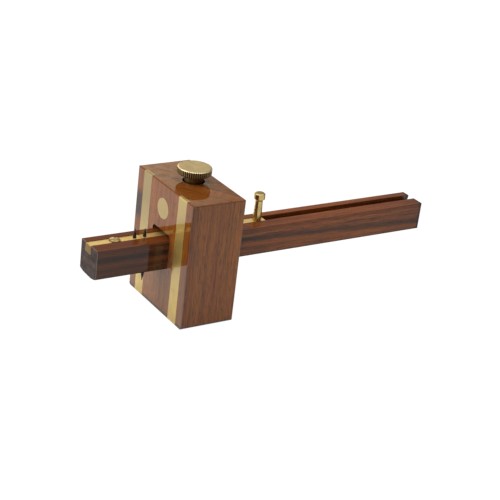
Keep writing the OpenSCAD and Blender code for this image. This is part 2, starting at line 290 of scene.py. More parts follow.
def lacquered_wood(name, node, grain_axis, look, seed, layer_angle):
    """Straight-grained wood under a clear gloss lacquer.

    The wood is a solid texture. Its layers are a noise along one direction across the grain, bent
    a little on the way. Streaks, fibres and pores are noises drawn out along the grain. Edges and
    end grain are darker. Places are in millimetres.
    """
    s = Shader(bpy.data.materials.new(name))
    x, y, z = where = s.split(s.millimetres())
    low, high = (tuple(v / MM for v in corner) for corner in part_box(node))
    normal = s.normal()
    run = "XYZ".index(grain_axis)
    across, beside, along = where[(run + 1) % 3], where[(run + 2) % 3], where[run]
    start, end = low[run], high[run]
    facing = s.size(normal[run])
    cut = 0.6, 0.95        # facing along the grain where end grain begins, and where it is full
    place = s.join(across, beside, along)

    def grain(scale, scale_along, **settings):
        """A noise with one scale across the grain and another along it, per millimetre."""
        shift = (seed, seed, seed)
        return s.noise(s.stretch(place, (scale, scale, scale_along), shift), **settings)

    # Depth in the layers, which bend slowly
    sway = grain(0.05, 0.02)
    bend = s.times(s.minus(sway, 0.5), look.waviness / MM)
    turn = math.radians(layer_angle)
    flat = s.plus(s.times(across, math.cos(turn)), s.times(beside, math.sin(turn)))
    depth = s.plus(s.plus(flat, bend), seed)

    # Broad bands and fine layers, clouds, streaks, fibres and pores
    broad = s.layers(s.times(depth, MM / look.band_width))
    fine = s.layers(s.times(depth, MM / look.layer_width), detail=4, roughness=0.65)
    bands = s.plus(s.times(broad, 0.6), s.times(fine, 0.4))
    mottle = grain(0.16, 0.03, detail=3, roughness=0.6)
    streak = grain(1.1, 0.035, detail=3, roughness=0.6, distortion=0.3)
    fibre = grain(2.6, 0.09, detail=5, roughness=0.65)
    pores = s.ramp(grain(4.4, 0.2), 0.57, 0.66)
    ragged = s.minus(streak, 0.5)
    tone = s.mix(s.ramp(broad, 0.36, 0.64), look.light, look.middle)
    tone = s.stain(tone, look.warm, mottle, 0.42, 0.62, look.warm_strength)
    tone = s.stain(tone, look.dark, bands, 0.5, 0.66, look.band_strength)
    tone = s.stain(tone, look.dark, streak, 0.5, 0.66, look.streak_strength)
    tone = s.stain(tone, look.dark, fibre, 0.4, 0.7, look.fibre_strength)
    tone = s.stain(tone, look.pore, pores, 0, 1, look.pore_strength)

    # A dark heart streak with ragged edges over a pale one. Both fall towards the far end.
    if look.heart_strength:
        width = look.heart_width / MM
        fall = s.ramp(along, look.heart_bend / MM, end, 0, look.heart_fall / MM)
        above = s.minus(s.plus(z, fall), look.heart_z / MM)
        off_pale = s.size(s.plus(above, width * 1.7))
        tone = s.stain(tone, look.light, off_pale, 1.7, 0.3, look.pale_streak)
        off = s.plus(s.size(above), s.times(ragged, width * 3))
        heart = s.ramp(off, width * 0.4, width, look.heart_strength, 0)
        tone = s.mix(s.times(heart, s.ramp(sway, 0.3, 0.6, 0.55, 1)), tone, look.pore)

    # A short dark patch with ragged ends, shallow, at the far edge of the face towards the pins
    if look.far_edge_dark_patch:
        off = s.plus(s.size(s.minus(z, look.far_edge_dark_patch_z / MM)), s.times(ragged, 6))
        beside_strip = s.ramp(y, high[1] - 6.3, high[1] - 5.3)
        shallow = s.ramp(x, low[0] + 0.3, low[0] + 2.2, 1, 0)
        patch = s.times(s.ramp(off, 4.5, 8.5, look.far_edge_dark_patch, 0), beside_strip)
        tone = s.mix(s.times(patch, shallow), tone, look.pore)

    # Painted shade darkens the wood towards the near end, and painted light lightens the crown
    tone = s.stain(tone, look.dark, along, look.drift_to / MM, look.drift_from / MM, look.drift)
    tone = s.stain(tone, look.warm, z, high[2] - 1.2, high[2] - 0.4, look.crown)

    # End grain is darker, with the layers' lines in it
    lines = s.ramp(s.layers(s.times(depth, MM / look.ring_width)), 0.48, 0.6)
    tone = s.mix(s.times(lines, s.ramp(facing, *cut, 0, look.ring_strength)), tone, look.dark)
    tone = s.stain(tone, look.pore, facing, *cut, look.end_grain)

    # Darker towards the far end and on its rim and on the eased edges; a painted contact shadow
    # darkens the foot
    tone = s.stain(tone, look.dark, along, end - 35, end, look.far_drift)
    tone = s.stain(tone, look.pore, along, end - 2.1, end - 1.4, look.far_edge)
    edge = edge_shade(s, where, low, high, look.edge_width / MM)
    tone = s.stain(tone, look.pore, edge, 0.2, 0.6, look.edge_strength)
    tone = s.stain(tone, look.pore, z, low[2] + 2.3, low[2] + 1.3, look.foot_shadow)

    # The near end's arris, which faces half along the grain, gets a pale painted highlight
    arris = s.times(s.ramp(facing, 0.15, 0.35), s.ramp(facing, 0.75, 0.95, 1, 0))
    arris = s.times(arris, s.ramp(along, start + 0.6, start + 1, look.arris_highlight, 0))
    tone = s.mix(arris, tone, look.arris)

    # Painted reflection of the pale floor: the face towards the pins is greyer in its lower part
    if look.rubbed:
        rubbed = s.times(s.ramp(normal[0], -0.9, -0.6, 1, 0), s.ramp(z, 16, 36, look.rubbed, 0))
        tone = s.mix(rubbed, tone, look.haze)

    # End grain soaks up some of the lacquer, in patches
    patches = grain(0.3, 0.3, detail=3, roughness=0.6)
    end_coat = s.ramp(patches, 0.35, 0.65, look.end_coat * 0.7, min(1, look.end_coat * 1.3))
    relief = s.minus(s.times(fibre, 0.25), s.times(pores, 0.75))
    return s.finish(s.principled({
        "Base Color": tone,
        "Roughness": s.ramp(fibre, 0.3, 0.7, 0.38, 0.55),
        "Specular IOR Level": 0.0,
        "Normal": s.bump(relief, 0.06 * MM, 0.5),
        "Coat Weight": s.ramp(facing, *cut, 1, end_coat),
        "Coat Roughness": look.coat_roughness,
        "Coat IOR": look.coat_ior,
    }))


def bare_metal(s, look, tone, wear, marks, depth, strength, rougher=1.3, coat=()):
    """Finishes a metal. It is rougher where wear is high, and the marks are its relief."""
    return s.finish(s.principled({
        "Base Color": tone,
        "Metallic": 1.0,
        "Roughness": s.ramp(wear, 0.3, 0.7, look.roughness * 0.8, look.roughness * rougher),
        "Normal": s.bump(marks, depth * MM, strength),
        **dict(coat),
    }))


def brushed_brass(name, brush_axis, look, seed, lacquer, upper_shade=0):
    """Brass with fine scratches along one axis, which vary its colour, roughness and relief.

    The last argument is how far a strip in the fence is darkened towards its upper end: painted
    shade, mixed with the tarnish colour.
    """
    s = Shader(bpy.data.materials.new(name))
    place = s.millimetres()
    height = s.split(place)[2]
    run = "XYZ".index(brush_axis)
    fine, drawn_out = 9, 0.12        # scales across the scratches and along them, per millimetre
    scale = [drawn_out if axis == run else fine for axis in range(3)]
    scratch = s.noise(s.stretch(place, scale, (seed, seed, seed)), detail=4, roughness=0.7)
    cloud = s.noise(s.stretch(place, (0.25, 0.25, 0.25), (seed, 0, seed)), detail=3)
    tone = s.mix(s.ramp(scratch, 0.3, 0.7), look.colour, look.scratch)
    # Tarnish clouds, and painted shade towards the upper end of a strip
    tarnish = s.math("MAXIMUM", s.ramp(cloud, 0.4, 0.75, 0, 0.4), s.ramp(height, 8, 50, 0, upper_shade))
    tone = s.mix(tarnish, tone, look.tarnish)
    # Painted shade: the ends, which face along the scratches, are darkened
    tone = s.stain(tone, look.groove, s.size(s.normal()[run]), 0.5, 0.75, look.end_shade)
    coat = {"Coat Weight": 1.0, "Coat Roughness": 0.05, "Coat IOR": 1.5} if lacquer else {}
    return bare_metal(s, look, tone, scratch, scratch, 0.02, 0.35, rougher=1.25, coat=coat)


def turned_brass(name, look, centre, seed, knurl=None, rim=None):
    """Turned brass: fine rings about a vertical axis, with clouds of tarnish.

    knurl gives the radius of a knurl's crests, its depth and its lowest height in metres. The
    brass darkens into the grooves with patina; painted shade darkens the crests nearly as much,
    and everything below the band. rim gives the inner radius and the lowest height of an upper
    edge that is painted bright as a highlight.
    """
    s = Shader(bpy.data.materials.new(name))
    middle = (-centre[0] / MM, -centre[1] / MM, 0)
    x, y, z = s.split(s.stretch(s.millimetres(), (1, 1, 1), middle))
    radius = s.math("SQRT", s.plus(s.times(x, x), s.times(y, y)))
    ring_place = s.join(s.times(radius, 7), s.times(z, 7), seed)
    rings = s.noise(ring_place, detail=4, roughness=0.7)
    cloud_place = s.stretch(s.join(x, y, z), (0.22, 0.22, 0.22), (seed, seed, 0))
    cloud = s.noise(cloud_place, detail=4, roughness=0.6)
    tone = s.mix(s.ramp(rings, 0.3, 0.7), look.colour, look.scratch)
    tone = s.stain(tone, look.tarnish, cloud, 0.38, 0.7, 0.6)
    if knurl:
        crest, depth, low = (v / MM for v in knurl)
        on_band = s.times(s.math("GREATER_THAN", radius, crest - 1.4 * depth),
                          s.math("GREATER_THAN", z, low))
        # Patina in the grooves; the crests keep most of the dark as painted shade
        groove = s.ramp(radius, crest - depth, crest - 0.1 * depth, 1, 0.8)
        # Painted shade below the band
        under = s.ramp(z, low - 0.1, low + 0.1, 0.88, 0)
        tone = s.mix(s.math("MAXIMUM", s.times(on_band, groove), under), tone, look.groove)
    if rim:
        # Painted highlight on the rim's chamfer
        inner, low = (v / MM for v in rim)
        worn = s.times(s.ramp(radius, inner - 0.1, inner + 0.1), s.ramp(z, low - 0.1, low + 0.1))
        tone = s.mix(worn, tone, look.worn)
    return bare_metal(s, look, tone, cloud, rings, 0.02, 0.5)


def dark_steel(name, look):
    """Blackened tool steel with fine grinding marks round each pin."""
    s = Shader(bpy.data.materials.new(name))
    marks = s.noise(s.stretch(s.millimetres(), (1.5, 1.5, 14)), detail=3, roughness=0.6)
    tone = s.mix(s.ramp(marks, 0.35, 0.7), look.colour, look.bright)
    return bare_metal(s, look, tone, marks, marks, 0.01, 0.3)


def finish_node(node, material):
    """Gives a CAD node its material."""
    data = frame["nodes"][node].data
    data.materials.clear()
    data.materials.append(material)


def place_piece(piece, material, node):
    """Gives a new piece its material and its body, and lets it stand for a CAD node."""
    piece.data.materials.append(material)
    bodies = frame["record"]["behaviour"]["bodies"]
    body = next(name for name, members in bodies.items() if node in members)
    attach(piece, body)
    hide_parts(node)


# Settings

class WoodLook(bpy.types.PropertyGroup):
    """Colours and grain of a lacquered wood"""

    light: colour("Light", (0.262, 0.085, 0.009), "Colour of the light bands")
    middle: colour("Middle", (0.174, 0.056, 0.007), "Colour of the middle bands")
    warm: colour("Warm", (0.232, 0.061, 0.008), "Colour of the warm clouds in the wood")
    dark: colour("Dark", (0.065, 0.018, 0.006), "Colour of the dark layers, streaks and fibres")
    pore: colour("Pore", (0.03, 0.01, 0.005), "Colour of pores, end grain and edges")
    band_width: length("Band width", 7 * MM, "Width of the broad bands", min=MM)
    layer_width: length("Layer width", 0.9 * MM, "Width of the fine layers", min=0.1 * MM)
    waviness: length("Waviness", 6 * MM, "How far the layers sway", min=0)
    warm_strength: share("Warm clouds", 0.7, "How strong the warm clouds are")
    band_strength: share("Band strength", 0.52, "How dark the bands are")
    streak_strength: share("Streak strength", 0.6, "How dark the streaks are")
    fibre_strength: share("Fibre strength", 0.5, "How dark the fibres are")
    pore_strength: share("Pore strength", 0.85, "How dark the pores are")
    heart_strength: share("Heart streak", 0.0, "How dark the heart streak is")
    heart_z: length("Heart streak height", 33.4 * MM, "Height of the heart streak")
    heart_width: length("Heart streak width", 1.8 * MM, "Half the width of the heart streak")
    heart_bend: length("Heart streak bend", 25 * MM, "Where the streak begins to fall")
    heart_fall: length("Heart streak fall", 4 * MM, "How far it falls from there to the end")
    pale_streak: share("Pale streak", 0.4, "How light the wood under the heart streak is")
    # Painted shade: how far the wood darkens towards one end, where it gets less light
    drift: share("Drift", 0.0, "How far the wood darkens towards one end")
    drift_from: length("Drift from", -55 * MM, "Where the wood is darkest")
    drift_to: length("Drift to", 30 * MM, "Where the wood has its own colour again")
    # Painted light: how much lighter the top is made, where light from above falls
    crown: share("Light crown", 0.3, "How much lighter the wood's top is")
    ring_width: length("Ring width", 2.1 * MM, "Width of the lines in the end grain", min=0.1 * MM)
    ring_strength: share("Ring strength", 0.42, "How dark the lines in the end grain are")
    end_grain: share("End grain", 0.0, "How dark the end grain is")
    # Painted highlight on the near end's arris: its colour and its strength
    arris: colour("Arris", (0.2, 0.17, 0.16), "Colour of the worn arris of the near end")
    arris_highlight: share("Pale arris", 0.0, "How pale the worn arris of the near end is")
    # A short dark patch at the far edge of the face towards the pins: its darkness and its height
    far_edge_dark_patch: share("Side streak", 0.0, "How dark the short streak in the far edge is")
    far_edge_dark_patch_z: length("Side streak height", 45 * MM, "Height of the short streak")
    # Painted reflection of the pale floor, low on the face towards the pins: its colour and its
    # strength
    haze: colour("Haze", (0.35, 0.38, 0.36), "Colour of the rubbed haze")
    rubbed: share("Rubbed", 0.0, "How strong the haze is, low on the face towards the pins")
    far_drift: share("Far drift", 0.0, "How far the wood darkens towards its far end")
    far_edge: share("Far end's rim", 0.0, "How dark the wood is at its far end")
    edge_strength: share("Edge strength", 0.3, "How dark the edges are")
    edge_width: length("Edge width", 0.9 * MM, "How far the dark of an edge reaches")
    # Painted shadow: the contact shadow along the lowest edge
    foot_shadow: share("Foot strength", 0.8, "How dark the lowest edge is")
    end_coat: share("Lacquer on end grain", 0.9, "How much lacquer stands on the end grain")
    coat_roughness: share("Lacquer roughness", 0.04, "Roughness of the lacquer")
    coat_ior: number("Lacquer IOR", 1.44, "Refractive index of the lacquer", min=1, max=2)


class MetalLook(bpy.types.PropertyGroup):
    """Colours and finish of a metal"""

    colour: colour("Colour", (0.62, 0.43, 0.13), "Colour of the metal")
    scratch: colour("Scratch", (0.7, 0.52, 0.19), "Colour along the scratches")
    # Also mixed in as painted shade towards the upper ends of the brass in the fence
    tarnish: colour("Tarnish", (0.5, 0.33, 0.09), "Colour of the tarnished places")
    # Also the colour of painted shade on knurl crests, below the thumb screw's head, round the
    # plate screw's rim and on the drawn brass's ends
    groove: colour("Groove", (0.09, 0.04, 0.01), "Dull colour in grooves and on sawn ends")
    bright: colour("Bright", (0.14, 0.15, 0.17), "Colour of the bright marks")
    # Painted highlight colour for an upper rim
    worn: colour("Worn", (0.88, 0.74, 0.46), "Colour of an edge that wear keeps bright")
    roughness: share("Roughness", 0.3, "Roughness of the surface")
    # Painted shade: how far the ends are darkened
    end_shade: share("Dull ends", 0.0, "How dull the sawn ends are")


class ThumbScrewSizes(bpy.types.PropertyGroup):
    """Sizes of the thumb screw"""

    head_d: length("Head diameter", box_size("thumb_screw").x, "Diameter over the ribs")
    head_t: length("Head thickness", 3.3 * MM, "Thickness of the knurled head")
    rim_chamfer: length("Rim chamfer", 0.4 * MM, "Chamfer round the top of the head")
    under_chamfer: length("Lower chamfer", 0.3 * MM, "Chamfer round the underside of the head")
    ribs: setting(IntProperty)("Ribs", 48, "Number of ribs round the head", min=12, max=96)
    rib_depth: length("Rib depth", 0.35 * MM, "Depth of the grooves between the ribs")
    collar_d: length("Collar diameter", 9.4 * MM, "Diameter of the collar under the head")
    collar_h: length("Collar height", 8 * MM, "Height of the collar under the head")
    shank_d: length("Shank diameter", 6 * MM, "Outside diameter of the thread")
    pitch: length("Pitch", 1 * MM, "Pitch of the thread")
    thread_depth: length("Thread depth", 0.5 * MM, "Depth of the thread")
    rivet_d: length("Rivet diameter", 3 * MM, "Diameter of the rivet end")
    rivet_h: length("Rivet height", 1.2 * MM, "Height of the rivet end with its head")
    rivet_head_d: length("Rivet head diameter", 4.6 * MM, "Diameter of the spread rivet head")
    rivet_head_h: length("Rivet head height", 0.4 * MM, "Height of the spread rivet head")


class PlateScrewSizes(bpy.types.PropertyGroup):
    """Sizes of the screw in the fixed plate"""

    head_d: length("Head diameter", box_size("plate_screw").x, "Diameter of the domed head")
    head_h: length("Head height", 0.9 * MM, "Height of the domed head")
    rim_h: length("Rim height", 0.45 * MM, "Height of the head at its rim")
    driver_w: length("Driver slot width", 0.9 * MM, "Width of the driver slot")
    driver_depth: length("Driver slot depth", 0.55 * MM, "Depth of the driver slot")
    driver_turn: number(
        "Driver slot direction", math.radians(62), "Direction of the slot, from the stem's length",
        subtype="ANGLE", unit="ROTATION")
    shank_d: length("Shank diameter", 2.4 * MM, "Outside diameter of the thread")
    point_h: length("Point length", 2.4 * MM, "Length of the tapered point")
    pitch: length("Pitch", 1.1 * MM, "Pitch of the thread")
    thread_depth: length("Thread depth", 0.3 * MM, "Depth of the thread")


class PinSizes(bpy.types.PropertyGroup):
    """Sizes of the marking pins"""

    point_d: length("Point diameter", 0.3 * MM, "Diameter left at a pin's point")
    fixed_cone: length("Fixed pin cone", 4.6 * MM, "Length of the fixed pin's cone")
    moving_cone: length("Moving pin cone", 4.1 * MM, "Length of the moving pin's cone")
    single_cone: length("Single pin cone", 4.5 * MM, "Length of the single pin's cone")


class KnobSizes(bpy.types.PropertyGroup):
    """Sizes of the pull knob"""

    height: length("Height", 14.4 * MM, "Height above the slide")
    foot_d: length("Foot diameter", 4.4 * MM, "Diameter at the foot")
    neck_d: length("Neck diameter", 3.7 * MM, "Diameter under the head")
    head_d: length("Head diameter", box_size("pull_knob").x, "Diameter of the head")
    head_h: length("Head height", 2.9 * MM, "Height of the cylindrical head")
    flare: length("Flare radius", 1.4 * MM, "Radius of the hollow under the head")
    chamfer: length("Chamfer", 0.5 * MM, "Chamfer round the top")
    tenon_d: length("Tenon diameter", 2.8 * MM, "Diameter of the tenon in the slide")


class StageSettings(bpy.types.PropertyGroup):
    """Floor, light and camera"""

    floor_radius: length("Floor radius", 4.0, "Radius of the floor")
    floor_colour: colour("Floor", (0.68, 0.68, 0.68), "Colour of the floor")
    floor_white: share("Floor burnt out", 0.93, "How far the picture shows the floor as white")
    floor_glow: brightness("Floor glow", 0.2, "Light that comes through the floor paper")
    back: brightness("Back wall", 1.05, "Brightness of the wall behind, on the left")
    back_colour: colour("Back wall colour", (1.0, 0.9, 0.61), "Colour of that wall")
    room: brightness("Room", 0.26, "Brightness of the room round the table")
    tent: brightness("Light tent", 1.35, "Brightness of the white cloth overhead")
    tent_from: share("Light tent from", 0.45, "Height in the sky at which the cloth begins")
    tent_full: share("Light tent full", 0.85, "Height in the sky of the cloth's full light")
    key: brightness("Key light", 6.5, "Power of the soft light", unit="POWER")
    lens: number("Lens", 97.861, "Focal length on a 36 mm sensor", min=1, unit="CAMERA")
    camera_at: vector("Camera", (-0.315822, -0.502013, 0.301186), "Where the camera stands",
                      subtype="TRANSLATION", unit="LENGTH")
    camera_aim: vector("Aim", (0.52464419, 0.74442158, -0.41301936),
                       "Direction in which the camera looks", subtype="DIRECTION")
    camera_right: vector("Right", (0.84060906, -0.52971418, 0.11304554),
                         "Direction that is to the right in the picture", subtype="DIRECTION")


class GaugeSettings(bpy.types.PropertyGroup):
    """All settings of the gauge"""

    fence_wood: PointerProperty(type=WoodLook)
    stem_wood: PointerProperty(type=WoodLook)
    satin: PointerProperty(type=MetalLook)
    drawn: PointerProperty(type=MetalLook)
    knurled: PointerProperty(type=MetalLook)
    polished: PointerProperty(type=MetalLook)
    steel: PointerProperty(type=MetalLook)
    thumb_screw: PointerProperty(type=ThumbScrewSizes)
    plate_screw: PointerProperty(type=PlateScrewSizes)
    pins: PointerProperty(type=PinSizes)
    knob: PointerProperty(type=KnobSizes)
    stage: PointerProperty(type=StageSettings)


# Finishes that differ from the defaults of their groups
FINISHES = {
    # The fence's grey, low on the face towards the pins, is a painted reflection
    "fence_wood": dict(rubbed=0.1, far_edge_dark_patch=1.0),
    # The stem's drift towards its near end is painted shade, its light crown painted light, its
    # dark foot a painted shadow and its pale arris a painted highlight
    "stem_wood": dict(
        light=(0.3, 0.088, 0.018), middle=(0.17, 0.048, 0.011), warm=(0.24, 0.055, 0.01),
        dark=(0.02, 0.009, 0.006), pore=(0.01, 0.006, 0.005),
        band_width=4.5 * MM, layer_width=1.1 * MM, waviness=5 * MM, band_strength=0.8,
        warm_strength=0.55, heart_strength=0.85, drift=0.72, drift_from=-28 * MM,
        drift_to=45 * MM, crown=0.34, ring_strength=0.8, end_grain=0.6, end_coat=0.6,
        foot_shadow=0.85, coat_ior=1.37, far_drift=0.3, far_edge=0.85, arris_highlight=0.5),
    "satin": dict(
        colour=(0.6, 0.425, 0.118), scratch=(0.67, 0.5, 0.165), tarnish=(0.3, 0.21, 0.062),
        roughness=0.5),
    # The drawn brass's dark ends are painted shade
    "drawn": dict(
        colour=(0.8, 0.57, 0.21), scratch=(0.86, 0.66, 0.29), roughness=0.52, end_shade=0.82),
    "knurled": dict(
        colour=(0.68, 0.51, 0.24), scratch=(0.78, 0.62, 0.33), tarnish=(0.4, 0.28, 0.11),
        groove=(0.06, 0.025, 0.005), roughness=0.33),
    "polished": dict(
        colour=(0.55, 0.405, 0.15), scratch=(0.6, 0.46, 0.195), tarnish=(0.4, 0.285, 0.095),
        roughness=0.25),
    "steel": dict(colour=(0.012, 0.012, 0.014), bright=(0.05, 0.052, 0.06), roughness=0.32),
}


def set_finishes(gauge):
    """Gives each group of settings its finish."""
    for group, finish in FINISHES.items():
        for name, value in finish.items():
            setattr(getattr(gauge, group), name, value)


# One operator for each piece or group of like pieces

class MORTISE_OT_fence(bpy.types.Operator):
    """Finishes the fence in lacquered wood with its grain upright"""

    bl_idname = "mortise.fence"
    bl_label = "Fence"

    def execute(self, context):
        look = context.scene.gauge.fence_wood
        wood = lacquered_wood("fence_wood", "fence_block", "Z", look, seed=3, layer_angle=38)
        finish_node("fence_block", wood)
        return {"FINISHED"}


class MORTISE_OT_inlays(bpy.types.Operator):
    """Finishes the wear strips, the barrel nut and the pressure shoe in satin brass"""

    bl_idname = "mortise.inlays"
    bl_label = "Brass in the fence"

    def execute(self, context):
        look = context.scene.gauge.satin
        # The last number is the painted shade towards the piece's upper end
        for node, seed, upper_shade in (
            ("near_wear_strip", 5, 0.62),
            ("far_wear_strip", 11, 1.0),
            ("barrel_nut", 14, 0.75),
        ):
            brass = brushed_brass(node + "_brass", "Z", look, seed, lacquer=True, upper_shade=upper_shade)
            finish_node(node, brass)
        brass = brushed_brass("shoe_brass", "X", look, seed=9, lacquer=False)
        finish_node("pressure_shoe", brass)
        return {"FINISHED"}


class MORTISE_OT_stem(bpy.types.Operator):
    """Finishes the stem in dark streaked wood with its grain along it"""

    bl_idname = "mortise.stem"
    bl_label = "Stem"

    def execute(self, context):
        look = context.scene.gauge.stem_wood
        finish_node("stem", lacquered_wood("stem_wood", "stem", "X", look, seed=17, layer_angle=80))
        return {"FINISHED"}


class MORTISE_OT_slide(bpy.types.Operator):
    """Finishes the fixed plate and the sliding bar in drawn brass"""

    bl_idname = "mortise.slide"
    bl_label = "Plate and slide"

    def execute(self, context):
        look = context.scene.gauge.drawn
        drawn = brushed_brass("drawn_brass", "X", look, seed=2, lacquer=False)
        for node in ("fixed_plate", "sliding_bar"):
            finish_node(node, drawn)
        return {"FINISHED"}


class MORTISE_OT_thumb_screw(bpy.types.Operator):
    """Makes the thumb screw, with its knurled head, collar, thread and rivet end"""

    bl_idname = "mortise.thumb_screw"
    bl_label = "Thumb screw"

    # Where the points lie on one rib's pitch, and how deep the groove is there
    rib_points = (0.03, 0.2, 0.37, 0.46, 0.7, 0.94)
    rib_groove = (0, 0, 0, 0.2, 1, 0.2)
    steps = 9          # points from one corner of the head's profile to the next
    sides = 96         # points round the shank

    def execute(self, context):
        size = context.scene.gauge.thumb_screw
        low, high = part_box("thumb_screw")
        at = upright_axis("thumb_screw")
        skins = [self.head(size, high.z, at), *self.shank(size, low.z, high.z, at)]
        piece = piece_from_skins("knurled_thumb_screw", skins, 28)
        # The knurl's grooves darken with patina; its crests and all below the head get painted
        # shade
        knurl = (size.head_d / 2, size.rib_depth, high.z - size.head_t)
        # The rim's chamfer is painted bright as a highlight
        rim = (size.head_d / 2 - size.rim_chamfer, high.z - size.rim_chamfer)
        look = context.scene.gauge.knurled
        material = turned_brass("thumb_screw_brass", look, at, 4, knurl, rim)
        place_piece(piece, material, "thumb_screw")
        return {"FINISHED"}

    def head(self, size, top, at):
        """Head: at each height and angle the radius is the profile's or the knurl's, if smaller."""
        crest = size.head_d / 2
        foot = top - size.head_t
        shoulder = crest - size.rim_chamfer
        profile = np.array([
            (crest - 2 * MM, foot),
            (crest - size.under_chamfer, foot),
            (crest, foot + size.under_chamfer),
            (crest, top - size.rim_chamfer),
            (shoulder, top - 0.03 * MM),
            (shoulder - 0.12 * MM, top),
            (crest * 0.5, top)])
        corners = np.arange(len(profile))
        between = np.arange((len(profile) - 1) * self.steps + 1) / self.steps
        radii, heights = (np.interp(between, corners, values) for values in profile.T)
        rib = np.arange(size.ribs)[:, None]
        angles = ((rib + np.array(self.rib_points)) * 2 * math.pi / size.ribs).ravel()
        knurl = crest - size.rib_depth * np.tile(self.rib_groove, size.ribs)
        return turned_skin(np.minimum(radii[:, None], knurl), heights, angles, at)

    def shank(self, size, low, high, at):
        """Threaded shank, collar and rivet end, each a closed turned skin. They meet inside."""
        angles = round_angles(self.sides)
        edge = 0.25 * MM
        into_head = 0.2 * MM
        before_thread = 0.3 * MM
        steps_per_turn = 12
        head_low = high - size.head_t
        collar_low = head_low - size.collar_h
        collar_top = head_low + into_head
        shank_low = low + size.rivet_h
        shank = size.shank_d / 2
        thread_z = np.arange(shank_low + before_thread, collar_low, size.pitch / steps_per_turn)
        thread_r = thread_radii(thread_z, angles, shank, size.thread_depth, size.pitch)
        shank_r = np.concatenate([np.full((1, len(angles)), shank - edge), thread_r])
        shank_z = np.concatenate([[shank_low], thread_z])
        collar = size.collar_d / 2
        collar_profile = join_profile(
            arc(collar - edge, collar_low + edge, edge, -90, 0, 5),
            (collar, (collar_low + collar_top) / 2),
            (collar, collar_top))
        rivet = size.rivet_d / 2
        rivet_head = size.rivet_head_d / 2
        rivet_profile = join_profile(
            arc(rivet_head - edge / 2, low + edge / 2, edge / 2, -90, 0, 4),
            (rivet_head, low + size.rivet_head_h),
            (rivet, low + size.rivet_head_h + edge / 10),
            (rivet, shank_low + edge))
        profiles = (shank_r, shank_z), collar_profile, rivet_profile
        return [turned_skin(*profile, angles, at) for profile in profiles]


class MORTISE_OT_plate_screw(bpy.types.Operator):
    """Makes the domed screw of the fixed plate, with its driver slot and wood thread"""

    bl_idname = "mortise.plate_screw"
    bl_label = "Plate screw"

    def execute(self, context):
        size = context.scene.gauge.plate_screw
        low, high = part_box("plate_screw")
        at = np.array([*upright_axis("plate_screw")[:2], high.z - self.top_of(size)])
        skins = [self.head(size, at), self.shank(size, at, low.z)]
        piece = piece_from_skins("slotted_plate_screw", skins, 32)
        # Painted shade on the side wall of the head's rim
        painted_shade_rim = (size.head_d / 2, 0.2 * MM, at[2])
        look = context.scene.gauge.polished
        material = turned_brass("screw_brass", look, at, 8, knurl=painted_shade_rim)
        place_piece(piece, material, "plate_screw")
        return {"FINISHED"}

    def dome(self, size, x, y):
        """Height of the dome: a ball's cap over the rim, with its outermost edge rounded off."""
        rim = size.head_d / 2
        rise = size.head_h - size.rim_h
        ball = (rim ** 2 + rise ** 2) / (2 * rise)
        edge = 0.1 * MM
        over_edge = np.clip(np.sqrt(x ** 2 + y ** 2) - rim + edge, 0, edge)
        rounded = edge - np.sqrt(edge ** 2 - over_edge ** 2)
        return np.sqrt(ball ** 2 - x ** 2 - y ** 2) - ball + size.head_h - rounded

    def top_of(self, size):
        """Height of the highest point, which is at the lip of the driver slot."""
        return float(self.dome(size, np.array(size.driver_w / 2), np.array(0.0)))

    def head(self, size, at):
        """Head as columns across the driver slot. Each column is a chord of the rim: over the
        dome, or along the slot's floor where that is lower, and back under the head. The columns
        at both walls stand twice."""
        rim = size.head_d / 2
        wall = size.driver_w / 2
        floor = size.head_h - size.driver_depth
        columns, chord_points = 18, 41
        last_column = math.pi / 2 * 0.985        # just inside the rim
        side = rim * np.sin(np.linspace(math.asin(wall / rim), last_column, columns))
        across = np.concatenate([-side[::-1], [-wall, 0, wall], side])
        lowered = np.abs(np.arange(len(across)) - columns - 1)[:, None] <= 1
        t = np.linspace(-math.pi / 2, math.pi / 2, chord_points)
        y = np.sqrt(rim ** 2 - across ** 2)[:, None] * np.sin(t)
        x = across[:, None] + np.zeros_like(y)
        z = self.dome(size, x, y)
        z = np.where(lowered, np.minimum(z, floor), z)
        over = np.stack([x, y, z], axis=-1)
        under = np.stack([x, y, np.full_like(x, -0.02 * MM)], axis=-1)[:, ::-1]
        rings = np.concatenate([over, under], axis=1)[:, ::-1]
        end_z = (size.rim_h - 0.12 * MM) / 2
        points, quads, triangles = skin(rings, (-rim, 0, end_z), (rim, 0, end_z))
        turn = np.array(Matrix.Rotation(size.driver_turn - math.pi / 2, 3, "Z"))
        return points @ turn.T + at, quads, triangles

    def shank(self, size, at, low):
        """Threaded shank. Over the point's length its radius is scaled down with the height."""
        angles = round_angles(32)
        steps_per_turn = 10
        bluntness = 0.15
        z = np.arange(low, at[2], size.pitch / steps_per_turn)
        taper = np.clip((z - low) / size.point_h, bluntness, 1)[:, None]
        radii = thread_radii(z, angles, size.shank_d / 2, size.thread_depth, size.pitch) * taper
        return turned_skin(radii, z, angles, (at[0], at[1], 0))


